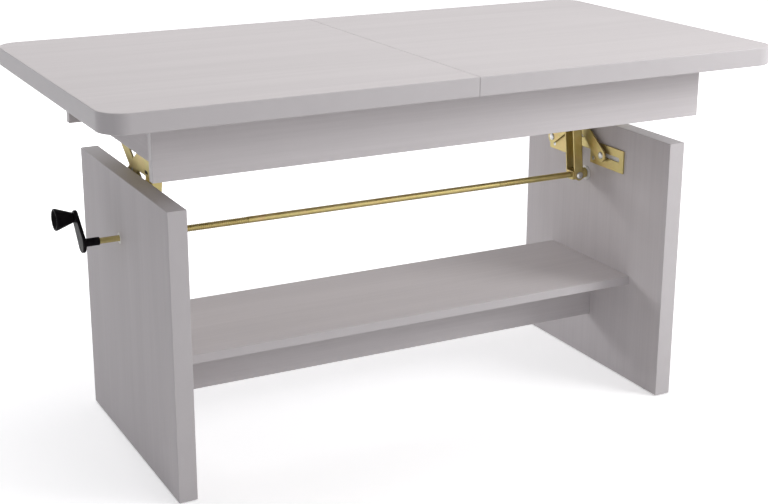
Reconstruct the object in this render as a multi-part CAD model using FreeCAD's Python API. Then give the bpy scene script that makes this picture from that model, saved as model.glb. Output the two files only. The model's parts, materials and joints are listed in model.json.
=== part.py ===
import FreeCAD, Part
import math
import os

from FreeCAD import Vector

# Extending coffee table with a crank lift, in millimetres.
# X runs along the table, Y to its back and Z up. The origin is on the floor under the middle of the top.

# Table top, two halves that meet at a seam across the middle
top_length = 1220.0
top_depth = 650.0
top_thickness = 32.0
table_height = 672.0
top_corner_radius = 42.0
top_edge_round = 1.5
seam_gap = 0.8
seam_dowel_spread_shares = (-0.36, 0.0, 0.36)
seam_dowel_length = 24.0
seam_dowel_play = 0.3

# Stock and clearances
board_thickness = 16.0
sheet_thickness = 3.0
dowel_radius = 4.0
dowel_length = 28.0
fit_clearance = 0.05
running_gap = 0.5
overrun = 1.0

# Facets of small round pieces and holes, and steps of the half rounds at the ends of bars and slots
fastener_sides = 8
bore_sides = 12
turned_sides = 16
knob_sides = 24
drive_sides = 6
eye_steps = 8

# Frame under the top: two long aprons, two lower end aprons and two cross rails that carry the lift
frame_length = 1024.0
frame_depth = 466.0
apron_height = 100.0
end_apron_height = 70.0
cross_rail_height = 90.0
lift_gap = 1.0
lift_travel = 48.0
lowered_gap = 0.5

# Slides of the two top halves
top_extension = 200.0
guide_height = 30.0
guide_depth = 14.0
guide_wall = 2.0
guide_drop = 4.0
runner_length = 236.0
runner_start = 20.0
runner_leg = 5.0
runner_flange_width = 20.0
runner_flange_thickness = 4.0
runner_screw_shares = (0.15, 0.85)

# Insert leaf, folded in two on battens inside the frame
leaf_gap = 1.0
leaf_lip = 26.0
batten_width = 40.0
batten_reach_share = 0.375
hinge_length = 60.0
hinge_plate_width = 24.0
hinge_plate_thickness = 2.0
hinge_knuckle_radius = 4.0
hinge_pin_radius = 2.0
hinge_place_shares = (-0.3, 0.3)

# Base: two side panels, a shelf and the rail under it
panel_setback = 21.0
panel_thickness = 32.0
panel_depth = 460.0
glide_height = 2.0
glide_radius = 14.0
glide_inset = 40.0
shelf_top = 210.0
shelf_depth = 260.0
shelf_rail_height = 100.0
shelf_dowel_share = 0.3

# Lift: scissor arms between a plate on each panel and a plate on each cross rail
lift_middle = 25.0
plate_length = 245.0
plate_far_edge = 24.0
plate_near_edge = 20.0
plate_corner = 2.0
plate_notch_width = 33.0
plate_notch_height = 26.0
lower_plate_drop = 63.0
upper_plate_drop = 91.5
pivot_inset = 12.0
pivot_reach = 171.5
slot_travel_back = 30.0
slot_travel_front = 45.0
slot_play = 0.5
upper_pivot_play = 1.2
lug_width = 84.0
lug_gap = 1.0
lug_slot_length = 10.0
lug_slot_radius = 3.0
lug_slot_rise = 6.5
arm_radius = 13.0
arm_gap = 0.5
rivet_radius = 4.0
rivet_head_radius = 7.0
rivet_head_height = 2.6
head_rise_share = 0.6
head_shoulder_share = 0.8
head_crown_share = 0.45

# Screws that hold the plates, brackets and runners
screw_radius = 2.0
screw_length = 16.0
screw_head_radius = 4.0
screw_head_height = 2.0
screw_edge = 10.0

# Crank spindle with its bushes, collars and threaded trunnion blocks
spindle_drop = 112.0
spindle_radius = 6.0
spindle_drive_width = 9.0
spindle_shoulder_inset = 3.0
bush_radius = 10.0
bush_flange_radius = 14.0
bush_flange_thickness = 2.0
bush_socket_depth = 20.0
collar_radius = 10.0
collar_width = 7.0
trunnion_length = 26.0
trunnion_height = 17.0
trunnion_bolt_radius = 5.0
trunnion_bolt_depth = 4.5
trunnion_bolt_head_radius = 7.0
trunnion_bolt_head_height = 3.0

# Levers that stand on the trunnions and carry the frame
lever_stand = 25.0
lever_head_drop = 34.5
lever_lean = 19.8
lever_width = 30.0
lever_depth = 21.0
lever_web_start = 27.0
lever_web_stop = 16.0
lever_pin_radius = 4.0
bracket_height = 42.0
bracket_width = 80.0
bracket_nose = 12.0
bracket_window_width = 5.5
bracket_window_height = 18.0

# Crank outside the left panel
crank_hub_stand = 34.0
crank_hub_radius = 7.0
crank_hub_length = 26.0
crank_arm_thickness = 6.0
crank_arm_hub_radius = 16.5
crank_arm_knob_radius = 12.0
crank_reach_back = 35.0
crank_reach_up = 36.0
knob_length = 33.0
knob_neck_radius = 9.0
knob_neck_length = 1.5
knob_rim_radius = 19.0
knob_rim_width = 2.5
knob_wall = 3.2
knob_hollow_depth = 13.0
knob_pin_radius = 4.0
knob_pin_head_radius = 7.0
knob_pin_head_height = 2.5

# Places worked out from the sizes above
top_underside = table_height - top_thickness
frame_top = top_underside - running_gap
frame_end = frame_length / 2
frame_side = frame_depth / 2
frame_inside = frame_side - board_thickness
panel_outer = frame_end - panel_setback
panel_inner = panel_outer - panel_thickness
panel_front = panel_depth / 2
panel_top = frame_top - apron_height - lift_travel - lowered_gap
rail_inner = panel_inner - lift_gap
rail_outer = rail_inner + board_thickness
guide_top = frame_top - guide_drop
leaf_length = 2 * top_extension
leaf_side = top_depth / 4
leaf_lower_bottom = frame_top - apron_height + leaf_lip
leaf_upper_bottom = leaf_lower_bottom + top_thickness + leaf_gap
lower_pivot = panel_top - lower_plate_drop
upper_pivot = frame_top - upper_plate_drop
plate_back = lift_middle + plate_length / 2
plate_front = lift_middle - plate_length / 2
pivot_back = plate_back - pivot_inset
pivot_front = pivot_back - pivot_reach
arm_a_outer = rail_inner - sheet_thickness - arm_gap
arm_a_inner = arm_a_outer - sheet_thickness
arm_b_outer = arm_a_inner - arm_gap
arm_b_inner = arm_b_outer - sheet_thickness
spindle_height = panel_top - spindle_drop
lever_foot = panel_inner - lever_stand
lever_top_x = lever_foot - lever_lean
lever_top_z = frame_top - lever_head_drop
lever_rise = lever_top_z - spindle_height
lever_length = math.hypot(lever_rise, lever_lean)
lever_angle = math.degrees(math.atan2(lever_lean, lever_rise))
cheek_inner = lever_width / 2 + running_gap
cheek_outer = cheek_inner + sheet_thickness
crank_arm_face = -panel_outer - crank_hub_stand - crank_hub_length
knob_face = crank_arm_face - crank_arm_thickness - running_gap
knob_middle = Vector(0, lift_middle + crank_reach_back, spindle_height + crank_reach_up)

X = Vector(1, 0, 0)
Y = Vector(0, 1, 0)
Z = Vector(0, 0, 1)


def block(low_x, high_x, low_y, high_y, low_z, high_z):
    return Part.makeBox(high_x - low_x, high_y - low_y, high_z - low_z, Vector(low_x, low_y, low_z))


def rod(radius, start, end):
    return Part.makeCylinder(radius, (end - start).Length, start, end - start)


def polygon_face(points):
    return Part.Face(Part.makePolygon(points + points[:1]))


def prism(points, sweep):
    return polygon_face(points).extrude(sweep)


def corner_ring(radius, middle, along, sides):
    # Corners of a many-sided round about an axis
    across = along.cross(X if along.cross(Z).Length < fit_clearance else Z)
    up = along.cross(across)
    turns = [2 * math.pi * number / sides for number in range(sides)]
    return [middle + across * (radius * math.cos(turn)) + up * (radius * math.sin(turn)) for turn in turns]


def peg(radius, start, end, sides):
    return prism(corner_ring(radius, start, Vector(end - start).normalize(), sides), end - start)


def bore(radius, start, end, sides):
    # Tool for a round hole, whose flats lie at the radius
    return peg(radius / math.cos(math.pi / sides), start, end, sides)


def turned(stations, start, along, sides, hollow=False):
    # Turned piece with flat facets, from (distance, corner radius) stations. A hollow one closes on itself
    rings = [corner_ring(radius, start + along * distance, along, sides) for distance, radius in stations]
    faces = [] if hollow else [polygon_face(rings[0]), polygon_face(rings[-1])]
    for ring, after in zip(rings, rings[1:] + (rings[:1] if hollow else [])):
        for number in range(sides):
            faces.append(polygon_face([ring[number - 1], ring[number], after[number], after[number - 1]]))
    solid = Part.makeSolid(Part.makeShell(faces))
    return solid if solid.Volume > 0 else solid.reversed()


def link(first, second, first_radius, second_radius, sweep):
    # Flat bar or slot with two round ends, which may differ in size
    way = second - first
    along = Vector(way).normalize()
    across = sweep.cross(along).normalize()
    lean = math.acos((first_radius - second_radius) / way.Length)
    outline = []
    for middle, radius, start, stop in ((second, second_radius, -lean, lean),
                                        (first, first_radius, lean, 2 * math.pi - lean)):
        for step in range(eye_steps + 1):
            turn = start + (stop - start) * step / eye_steps
            outline.append(middle + along * (radius * math.cos(turn)) + across * (radius * math.sin(turn)))
    return prism(outline, sweep)


def edges_along(shape, direction):
    chosen = []
    for edge in shape.Edges:
        way = edge.Vertexes[-1].Point - edge.Vertexes[0].Point
        if way.Length > 0 and way.cross(direction).Length < way.Length * fit_clearance:
            chosen.append(edge)
    return chosen


def cut_all(shape, tools):
    return shape.cut(tools) if tools else shape


def fused(first, *others):
    return first.multiFuse(list(others)).removeSplitter()


def left_of(shape):
    # The left side of the table mirrors the right side
    return shape.mirror(Vector(0, 0, 0), X)


def back_of(shape):
    return shape.mirror(Vector(0, 0, 0), Y)


def both_sides(shapes):
    return shapes + [left_of(shape) for shape in shapes]


# Fasteners

def screw(seat, drive):
    # Countersunk screw: seat is the middle of its flush head, drive the way that it is driven in
    stations = [(0, screw_head_radius), (screw_head_height, screw_radius), (screw_length, screw_radius)]
    return turned(stations, seat, drive, fastener_sides)


def screw_hole(seat, drive):
    shank = screw_radius + fit_clearance
    stations = [(0, screw_head_radius + fit_clearance), (screw_head_height, shank),
                (screw_length + running_gap, shank)]
    return turned(stations, seat, drive, fastener_sides)


def dowel(middle, along, length):
    half = along * (length / 2)
    return peg(dowel_radius, middle - half, middle + half, fastener_sides)


def dowel_hole(middle, along, length, play):
    half = along * (length / 2 + running_gap)
    return peg(dowel_radius + play, middle - half, middle + half, fastener_sides)


def domed(shank, seat, along, radius, height):
    # A shank with a low domed head on its seat
    stations = [(0, radius), (head_rise_share * height, head_shoulder_share * radius),
                (height, head_crown_share * radius)]
    return fused(shank, turned(stations, seat, along, fastener_sides))


def rivet(tail_x, seat_x, y, z, turning):
    # Shouldered rivet across X: its head seats at seat_x, towards the middle of the table
    tail = Vector(tail_x, y, z)
    seat = Vector(seat_x, y, z)
    shank = rod(rivet_radius, tail, seat) if turning else peg(rivet_radius, tail, seat, fastener_sides)
    return domed(shank, seat, -X, rivet_head_radius, rivet_head_height)


# Table top

def seam_places():
    middle = top_underside + top_thickness / 2
    return [Vector(0, share * top_depth, middle) for share in seam_dowel_spread_shares]


def top_half():
    half = block(seam_gap / 2, top_length / 2, -top_depth / 2, top_depth / 2, top_underside, table_height)
    corners = [e for e in edges_along(half, Z) if e.CenterOfMass.x > top_length / 4]
    half = half.makeFillet(top_corner_radius, corners)
    rim = [e for e in half.Edges if e.CenterOfMass.x > seam_gap and not edges_along(e, Z)]
    return half.makeChamfer(top_edge_round, rim)


def top_half_right():
    holes = [dowel_hole(p, X, seam_dowel_length, seam_dowel_play) for p in seam_places()]
    return cut_all(top_half(), holes + [screw_hole(p, Z) for p in runner_screw_places()])


def top_half_left():
    holes = [dowel_hole(p, X, seam_dowel_length, fit_clearance) for p in seam_places()]
    return cut_all(left_of(top_half()), holes + [left_of(screw_hole(p, Z)) for p in runner_screw_places()])


def seam_dowels():
    return Part.makeCompound([dowel(p, X, seam_dowel_length) for p in seam_places()])


# Frame

def frame_dowel_places():
    # One dowel at each end of the right end apron and of the right cross rail
    places = []
    for x, height in ((frame_end - board_thickness / 2, end_apron_height),
                      (rail_inner + board_thickness / 2, cross_rail_height)):
        for side in (-1, 1):
            places.append(Vector(x, side * frame_inside, frame_top - height / 2))
    return places


def frame_dowel_holes():
    return both_sides([dowel_hole(p, Y, dowel_length, fit_clearance) for p in frame_dowel_places()])


def frame_dowels():
    return Part.makeCompound(both_sides([dowel(p, Y, dowel_length) for p in frame_dowel_places()]))


def apron_front():
    board = block(-frame_end, frame_end, -frame_side, -frame_inside, frame_top - apron_height, frame_top)
    return cut_all(board, frame_dowel_holes())


def apron_back():
    return back_of(apron_front())


def end_apron():
    board = block(frame_end - board_thickness, frame_end, -frame_inside, frame_inside,
                  frame_top - end_apron_height, frame_top)
    return cut_all(board, frame_dowel_holes())


def cross_rail():
    board = block(rail_inner, rail_outer, -frame_inside, frame_inside,
                  frame_top - cross_rail_height, frame_top)
    seats = plate_screw_places(rail_inner - sheet_thickness, upper_pivot, -1) + bracket_screw_places()
    return cut_all(board, frame_dowel_holes() + [screw_hole(p, X) for p in seats])


# Slides

def slide_guide_front():
    # Steel channel on the inner face of the front apron, open towards the middle of the table
    wall, lip = -frame_inside, -frame_inside + guide_depth
    low, high = guide_top - guide_height, guide_top
    outline = [(wall, low), (lip, low), (lip, low + guide_wall), (wall + guide_wall, low + guide_wall),
               (wall + guide_wall, high - guide_wall), (lip, high - guide_wall), (lip, high), (wall, high)]
    reach = rail_inner - running_gap
    return prism([Vector(-reach, y, z) for y, z in outline], X * (2 * reach))


def runner_leg_face():
    return -frame_inside + guide_depth + running_gap


def runner_screw_places():
    y = -runner_leg_face() - runner_leg - runner_flange_width / 2
    places = []
    for share in runner_screw_shares:
        for side in (-1, 1):
            x = runner_start + share * runner_length
            places.append(Vector(x, side * y, top_underside - runner_flange_thickness))
    return places


def slide_runner():
    # Front right runner: a tongue in the guide, a leg past its lips and a flange under the top
    tongue = -frame_inside + guide_wall + running_gap
    face = runner_leg_face()
    low = guide_top - guide_height + guide_wall + running_gap
    high = guide_top - guide_wall - running_gap
    under = top_underside - runner_flange_thickness
    outline = [(tongue, low), (face + runner_leg, low), (face + runner_leg, under),
               (face + runner_leg + runner_flange_width, under),
               (face + runner_leg + runner_flange_width, top_underside),
               (face, top_underside), (face, high), (tongue, high)]
    bar = prism([Vector(runner_start, y, z) for y, z in outline], X * runner_length)
    return cut_all(bar, [screw_hole(p, Z) for p in runner_screw_places()])


def runner_screws():
    return Part.makeCompound([screw(p, Z) for p in runner_screw_places()])


# Insert leaf

def leaf_board(bottom):
    return block(-leaf_length / 2, leaf_length / 2, -leaf_side, leaf_side, bottom, bottom + top_thickness)


def leaf_battens():
    reach = batten_reach_share * leaf_length
    low = leaf_lower_bottom - board_thickness
    right = block(reach - batten_width / 2, reach + batten_width / 2, -frame_inside, frame_inside,
                  low, leaf_lower_bottom)
    return Part.makeCompound(both_sides([right]))


def hinge_axis():
    return Vector(0, leaf_side + hinge_knuckle_radius, leaf_upper_bottom - leaf_gap / 2)


def hinge_side(sense, knuckles):
    # One plate of each hinge, on the folded leaf's back edge: sense is -1 below the pin, +1 above it
    axis = hinge_axis()
    third = hinge_length / 3
    bore_radius = hinge_pin_radius + fit_clearance
    plates = []
    for share in hinge_place_shares:
        start = share * leaf_length - hinge_length / 2
        edge = axis.z + sense * hinge_knuckle_radius
        end = axis.z + sense * (hinge_knuckle_radius + hinge_plate_width)
        plate = block(start, start + hinge_length, leaf_side, leaf_side + hinge_plate_thickness,
                      min(edge, end), max(edge, end))
        low, high = min(edge, axis.z), max(edge, axis.z)
        for place in knuckles:
            near = start + place * third + running_gap
            far = start + (place + 1) * third - running_gap
            barrel = peg(hinge_knuckle_radius, Vector(near, axis.y, axis.z), Vector(far, axis.y, axis.z),
                         fastener_sides)
            tongue = block(near, far, leaf_side, leaf_side + hinge_plate_thickness, low, high)
            plate = fused(plate, barrel, tongue)
        bore_start = Vector(start - overrun, axis.y, axis.z)
        bore_end = Vector(start + hinge_length + overrun, axis.y, axis.z)
        plates.append(plate.cut(bore(bore_radius, bore_start, bore_end, fastener_sides)))
    return plates


def hinge_plates():
    return Part.makeCompound(hinge_side(-1, (1,)) + hinge_side(1, (0, 2)))


def hinge_pins():
    axis = hinge_axis()
    pins = []
    for share in hinge_place_shares:
        start = share * leaf_length - hinge_length / 2
        pins.append(peg(hinge_pin_radius, Vector(start, axis.y, axis.z),
                        Vector(start + hinge_length, axis.y, axis.z), fastener_sides))
    return Part.makeCompound(pins)


# Base

def shelf_dowel_places():
    # Right end of the shelf and of the rail under it
    shelf_middle = shelf_top - board_thickness / 2
    places = [Vector(panel_inner, side * shelf_dowel_share * shelf_depth, shelf_middle) for side in (-1, 1)]
    rail_middle = shelf_top - board_thickness - shelf_rail_height / 2
    return places + [Vector(panel_inner, 0, rail_middle)]


def shelf_dowel_holes():
    return both_sides([dowel_hole(p, X, dowel_length, fit_clearance) for p in shelf_dowel_places()])


def shelf_dowels():
    return Part.makeCompound(both_sides([dowel(p, X, dowel_length) for p in shelf_dowel_places()]))


def shelf():
    board = block(-panel_inner, panel_inner, -shelf_depth / 2, shelf_depth / 2,
                  shelf_top - board_thickness, shelf_top)
    return cut_all(board, shelf_dowel_holes())


def shelf_rail():
    high = shelf_top - board_thickness
    board = block(-panel_inner, panel_inner, -board_thickness / 2, board_thickness / 2,
                  high - shelf_rail_height, high)
    return cut_all(board, shelf_dowel_holes())


def panel_board():
    board = block(panel_inner, panel_outer, -panel_front, panel_front, glide_height, panel_top)
    seats = plate_screw_places(panel_inner - sheet_thickness, lower_pivot, 1)
    return cut_all(board, shelf_dowel_holes() + [screw_hole(p, X) for p in seats])


def spindle_point(x):
    return Vector(x, lift_middle, spindle_height)


def side_panel_right():
    socket = spindle_point(panel_inner + bush_socket_depth)
    return panel_board().cut(bore(bush_radius, spindle_point(panel_inner - overrun), socket, turned_sides))


def side_panel_left():
    hole = bore(bush_radius, spindle_point(-panel_outer - overrun), spindle_point(-panel_inner + overrun),
                turned_sides)
    return left_of(panel_board()).cut(hole)


def foot_glides():
    discs = []
    for side in (-1, 1):
        foot = Vector((panel_inner + panel_outer) / 2, side * (panel_front - glide_inset), 0)
        discs.append(peg(glide_radius, foot, foot + Z * glide_height, turned_sides))
    return Part.makeCompound(both_sides(discs))


# Scissor lift, right side

def plate_screw_places(x, pivot, sense):
    # One beside the fixed pivot and one on each side of the notch
    far = pivot - sense * (plate_far_edge - screw_edge)
    notch_reach = plate_notch_width / 2 + screw_edge
    return [Vector(x, y, far) for y in (pivot_back - rivet_radius, lift_middle + notch_reach,
                                        lift_middle - notch_reach)]


def scissor_plate(outer_x, pivot, sense, pivot_hole_radius, slot_radius):
    # Sense is +1 on the panel and -1, turned over, on the cross rail
    inner_x = outer_x - sheet_thickness
    far = pivot - sense * plate_far_edge
    near = pivot + sense * plate_near_edge
    notch = far + sense * plate_notch_height
    notch_front = lift_middle - plate_notch_width / 2
    notch_back = lift_middle + plate_notch_width / 2
    outline = [(plate_front, far), (notch_front, far), (notch_front, notch), (notch_back, notch),
               (notch_back, far), (plate_back, far), (plate_back, near), (plate_front, near)]
    plate = prism([Vector(inner_x, y, z) for y, z in outline], X * sheet_thickness)
    plate = plate.makeChamfer(plate_corner, edges_along(plate, X))
    start = inner_x - overrun
    through = X * (sheet_thickness + 2 * overrun)
    hole_start = Vector(start, pivot_back, pivot)
    hole = bore(pivot_hole_radius, hole_start, hole_start + through, bore_sides)
    slot = link(Vector(start, pivot_front - slot_travel_front, pivot),
                Vector(start, pivot_front + slot_travel_back, pivot), slot_radius, slot_radius, through)
    holes = [screw_hole(p, X) for p in plate_screw_places(inner_x, pivot, sense)]
    return cut_all(plate, [hole, slot] + holes)


def wall_plate():
    return scissor_plate(panel_inner, lower_pivot, 1, rivet_radius + fit_clearance, rivet_radius + slot_play)


def upper_plate():
    # A slotted lug hangs from it and stops short of the wall plate when the frame is down
    plate = scissor_plate(rail_inner, upper_pivot, -1, rivet_radius + upper_pivot_play,
                          rivet_radius + upper_pivot_play)
    inner_x = rail_inner - sheet_thickness
    low = lower_pivot + plate_near_edge + lift_travel + lug_gap
    lug = block(inner_x, rail_inner, pivot_front - lug_width / 2, pivot_front + lug_width / 2,
                low, upper_pivot - plate_near_edge)
    middle = Vector(inner_x - overrun, pivot_front, low + lug_slot_rise)
    half = Y * (lug_slot_length / 2)
    slot = link(middle - half, middle + half, lug_slot_radius, lug_slot_radius,
                X * (sheet_thickness + 2 * overrun))
    return cut_all(fused(plate, lug), [slot])


def plate_screws(outer_x, pivot, sense):
    inner_x = outer_x - sheet_thickness
    return [screw(p, X) for p in plate_screw_places(inner_x, pivot, sense)]


def wall_plate_screws():
    return Part.makeCompound(both_sides(plate_screws(panel_inner, lower_pivot, 1)))


def arm_middle():
    return (pivot_back + pivot_front) / 2, (lower_pivot + upper_pivot) / 2


def scissor_arm(inner_x, low_y, high_y):
    bar = link(Vector(inner_x, low_y, lower_pivot), Vector(inner_x, high_y, upper_pivot),
               arm_radius, arm_radius, X * sheet_thickness)
    bores = []
    for y, z in ((low_y, lower_pivot), (high_y, upper_pivot), arm_middle()):
        start = Vector(inner_x - overrun, y, z)
        end = Vector(inner_x + sheet_thickness + overrun, y, z)
        bores.append(bore(rivet_radius + fit_clearance, start, end, bore_sides))
    return cut_all(bar, bores)


def scissor_arm_a():
    # Turns on the panel's fixed pivot at the back, and slides at its front upper end
    return scissor_arm(arm_a_inner, pivot_back, pivot_front)


def scissor_arm_b():
    # Slides at its front lower end, and turns on the frame's fixed pivot at the back
    return scissor_arm(arm_b_inner, pivot_front, pivot_back)


def base_rivets():
    return Part.makeCompound(both_sides([rivet(panel_inner, arm_a_inner, pivot_back, lower_pivot, True)]))


def arm_a_rivets():
    middle_y, middle_z = arm_middle()
    crossing = rivet(arm_a_outer, arm_b_inner, middle_y, middle_z, True)
    slider = rivet(rail_inner - running_gap, arm_a_inner, pivot_front, upper_pivot, False)
    return Part.makeCompound([crossing, slider])


def arm_b_rivets():
    slider = rivet(panel_inner - running_gap, arm_b_inner, pivot_front, lower_pivot, False)
    pivot = rivet(rail_inner - running_gap, arm_b_inner, pivot_back, upper_pivot, False)
    return Part.makeCompound([slider, pivot])


# Spindle, trunnions and levers

def spindle():
    # Round bar between the two bushes, with a six-sided end for the crank
    shoulder = -panel_outer + spindle_shoulder_inset
    bar = rod(spindle_radius, spindle_point(shoulder), spindle_point(panel_inner + bush_socket_depth / 2))
    drive = bore(spindle_drive_width / 2, spindle_point(crank_arm_face), spindle_point(shoulder), drive_sides)
    return fused(bar, drive)


def bush_blank(length):
    # Flanged bush in the right panel's inner face, before it is bored
    stations = [(0, bush_flange_radius), (bush_flange_thickness, bush_flange_radius),
                (bush_flange_thickness, bush_radius - fit_clearance),
                (bush_flange_thickness + length, bush_radius - fit_clearance)]
    return turned(stations, spindle_point(panel_inner - bush_flange_thickness), X, turned_sides)


def bush_bore(end_x):
    start = spindle_point(panel_inner - bush_flange_thickness - overrun)
    return bore(spindle_radius + fit_clearance, start, spindle_point(end_x), turned_sides)


def spindle_bush_left():
    return left_of(bush_blank(panel_thickness).cut(bush_bore(panel_outer + overrun)))


def spindle_bush_right():
    return bush_blank(bush_socket_depth).cut(bush_bore(panel_inner + bush_socket_depth / 2 + running_gap))


def spindle_collars():
    end = panel_inner - bush_flange_thickness - running_gap
    ring = peg(collar_radius, spindle_point(end - collar_width), spindle_point(end), turned_sides)
    hole = bore(spindle_radius + fit_clearance, spindle_point(end - collar_width - overrun),
                spindle_point(end + overrun), turned_sides)
    return Part.makeCompound(both_sides([ring.cut(hole)]))


def trunnion_half_width():
    return lever_width / 2 - sheet_thickness - running_gap


def trunnion():
    half = trunnion_half_width()
    body = block(lever_foot - trunnion_length / 2, lever_foot + trunnion_length / 2,
                 lift_middle - half, lift_middle + half,
                 spindle_height - trunnion_height / 2, spindle_height + trunnion_height / 2)
    thread = bore(spindle_radius + fit_clearance, spindle_point(lever_foot - trunnion_length),
                  spindle_point(lever_foot + trunnion_length), turned_sides)
    sockets = []
    for side in (-1, 1):
        face = spindle_point(lever_foot) + Y * (side * half)
        sockets.append(bore(trunnion_bolt_radius + fit_clearance, face - Y * (side * trunnion_bolt_depth),
                            face + Y * (side * overrun), bore_sides))
    return cut_all(body, [thread] + sockets)


def trunnion_bolts():
    bolts = []
    for side in (-1, 1):
        tip = spindle_point(lever_foot) + Y * (side * (trunnion_half_width() - trunnion_bolt_depth))
        seat = spindle_point(lever_foot) + Y * (side * (lever_width / 2 + running_gap))
        bolts.append(domed(rod(trunnion_bolt_radius, tip, seat), seat, Y * side, trunnion_bolt_head_radius,
                           trunnion_bolt_head_height))
    return Part.makeCompound(bolts)


def lever():
    # U channel, made upright on its foot pin with its web to the outside, then leant inwards
    radius = lever_depth / 2
    half = lever_width / 2
    foot, head = Vector(0, 0, 0), Z * lever_length
    channel = block(radius - sheet_thickness, radius, -half, half,
                    lever_web_start, lever_length - lever_web_stop)
    for inner in (-half, half - sheet_thickness):
        flange = link(foot + Y * inner, head + Y * inner, radius, radius, Y * sheet_thickness)
        channel = fused(channel, flange)
    through = Y * (half + overrun)
    foot_hole = bore(trunnion_bolt_radius + fit_clearance, foot - through, foot + through, bore_sides)
    head_hole = bore(lever_pin_radius + fit_clearance, head - through, head + through, bore_sides)
    channel = cut_all(channel, [foot_hole, head_hole])
    channel.rotate(Vector(0, 0, 0), Y, -lever_angle)
    channel.translate(spindle_point(lever_foot))
    return channel


def lever_pin():
    # Headed pin through the lever's upper end and the windows of the frame's bracket
    middle = Vector(lever_top_x, lift_middle, lever_top_z)
    seat = cheek_outer + running_gap
    end = seat + rivet_head_height
    stations = [(-end, rivet_head_radius), (-seat, rivet_head_radius), (-seat, lever_pin_radius),
                (seat, lever_pin_radius), (seat, rivet_head_radius), (end, rivet_head_radius)]
    return turned(stations, middle, Y, bore_sides)


def bracket_low():
    return lever_top_z - bracket_nose


def bracket_screw_places():
    spread = (bracket_width / 2 + cheek_outer) / 2
    middle = bracket_low() + bracket_height / 2
    x = rail_inner - sheet_thickness
    return [Vector(x, lift_middle + side * spread, middle) for side in (-1, 1)]


def lever_bracket():
    # Back plate on the cross rail with two cheeks, whose windows let the pin ride up during the travel
    low, high = bracket_low(), bracket_low() + bracket_height
    base = block(rail_inner - sheet_thickness, rail_inner, lift_middle - bracket_width / 2,
                 lift_middle + bracket_width / 2, low, high)
    nose = lever_top_x - bracket_nose
    for start in (lift_middle - cheek_outer, lift_middle + cheek_inner):
        base = fused(base, block(nose, rail_inner, start, start + sheet_thickness, low, high))
    room = lever_pin_radius + running_gap
    window = block(lever_top_x - room, lever_top_x + bracket_window_width + room,
                   lift_middle - bracket_width, lift_middle + bracket_width,
                   lever_top_z - room, lever_top_z + bracket_window_height + room)
    return cut_all(base, [window] + [screw_hole(p, X) for p in bracket_screw_places()])


def frame_plate_screws():
    right = plate_screws(rail_inner, upper_pivot, -1) + [screw(p, X) for p in bracket_screw_places()]
    return Part.makeCompound(both_sides(right))


# Crank

def crank():
    hub_end = -panel_outer - crank_hub_stand
    hub = peg(crank_hub_radius, spindle_point(hub_end), spindle_point(crank_arm_face), knob_sides)
    knob_start = knob_middle + X * crank_arm_face
    arm = link(spindle_point(crank_arm_face), knob_start, crank_arm_hub_radius, crank_arm_knob_radius,
               X * -crank_arm_thickness)
    socket = bore(spindle_drive_width / 2 + fit_clearance, spindle_point(crank_arm_face),
                  spindle_point(hub_end + overrun), drive_sides)
    pin_hole = bore(knob_pin_radius + fit_clearance, knob_start + X * overrun,
                    knob_start - X * (crank_arm_thickness + overrun), bore_sides)
    return cut_all(fused(hub, arm), [socket, pin_hole])


def knob():
    # Flared grip turned about its pin, hollow in its outer face
    inside = (knob_pin_radius + fit_clearance) / math.cos(math.pi / knob_sides)
    hollow = knob_length - knob_hollow_depth
    flare_end = knob_length - knob_rim_width
    stations = [(0, inside), (0, knob_neck_radius), (knob_neck_length, knob_neck_radius),
                (flare_end, knob_rim_radius), (knob_length, knob_rim_radius),
                (knob_length, knob_rim_radius - knob_wall), (hollow, knob_pin_head_radius + knob_wall / 2),
                (hollow, inside)]
    return turned(stations, knob_middle + X * knob_face, -X, knob_sides, True)


def knob_pin():
    start = knob_middle + X * crank_arm_face
    seat = knob_middle + X * (knob_face - knob_length + knob_hollow_depth - running_gap)
    return domed(rod(knob_pin_radius, start, seat), seat, -X, knob_pin_head_radius, knob_pin_head_height)


# Every piece, by node name

pieces = {
    "top_half_right": top_half_right(),
    "top_half_left": top_half_left(),
    "seam_dowels": seam_dowels(),
    "apron_front": apron_front(),
    "apron_back": apron_back(),
    "frame_dowels": frame_dowels(),
    "slide_guide_front": slide_guide_front(),
    "slide_guide_back": back_of(slide_guide_front()),
    "leaf_lower": leaf_board(leaf_lower_bottom),
    "leaf_upper": leaf_board(leaf_upper_bottom),
    "leaf_battens": leaf_battens(),
    "leaf_hinge_plates": hinge_plates(),
    "leaf_hinge_pins": hinge_pins(),
    "side_panel_right": side_panel_right(),
    "side_panel_left": side_panel_left(),
    "shelf": shelf(),
    "shelf_rail": shelf_rail(),
    "shelf_dowels": shelf_dowels(),
    "foot_glides": foot_glides(),
    "wall_plate_screws": wall_plate_screws(),
    "base_rivets": base_rivets(),
    "frame_plate_screws": frame_plate_screws(),
    "spindle": spindle(),
    "spindle_bushes": Part.makeCompound([spindle_bush_left(), spindle_bush_right()]),
    "spindle_collars": spindle_collars(),
    "crank": crank(),
    "crank_knob": knob(),
    "crank_knob_pin": knob_pin(),
}
mirrored = {
    "end_apron": end_apron(),
    "cross_rail": cross_rail(),
    "wall_plate": wall_plate(),
    "upper_plate": upper_plate(),
    "scissor_arm_a": scissor_arm_a(),
    "scissor_arm_b": scissor_arm_b(),
    "arm_a_rivets": arm_a_rivets(),
    "arm_b_rivets": arm_b_rivets(),
    "trunnion": trunnion(),
    "trunnion_bolts": trunnion_bolts(),
    "lever": lever(),
    "lever_pin": lever_pin(),
    "lever_bracket": lever_bracket(),
    "runner_screws": runner_screws(),
    "slide_runner_front": slide_runner(),
    "slide_runner_back": back_of(slide_runner()),
}
for name, shape in mirrored.items():
    pieces[name + "_right"] = shape
    pieces[name + "_left"] = left_of(shape)

os.makedirs("parts", exist_ok=True)
for name, shape in pieces.items():
    shape.exportStep("parts/" + name + ".step")
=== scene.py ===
import json
import math

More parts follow.
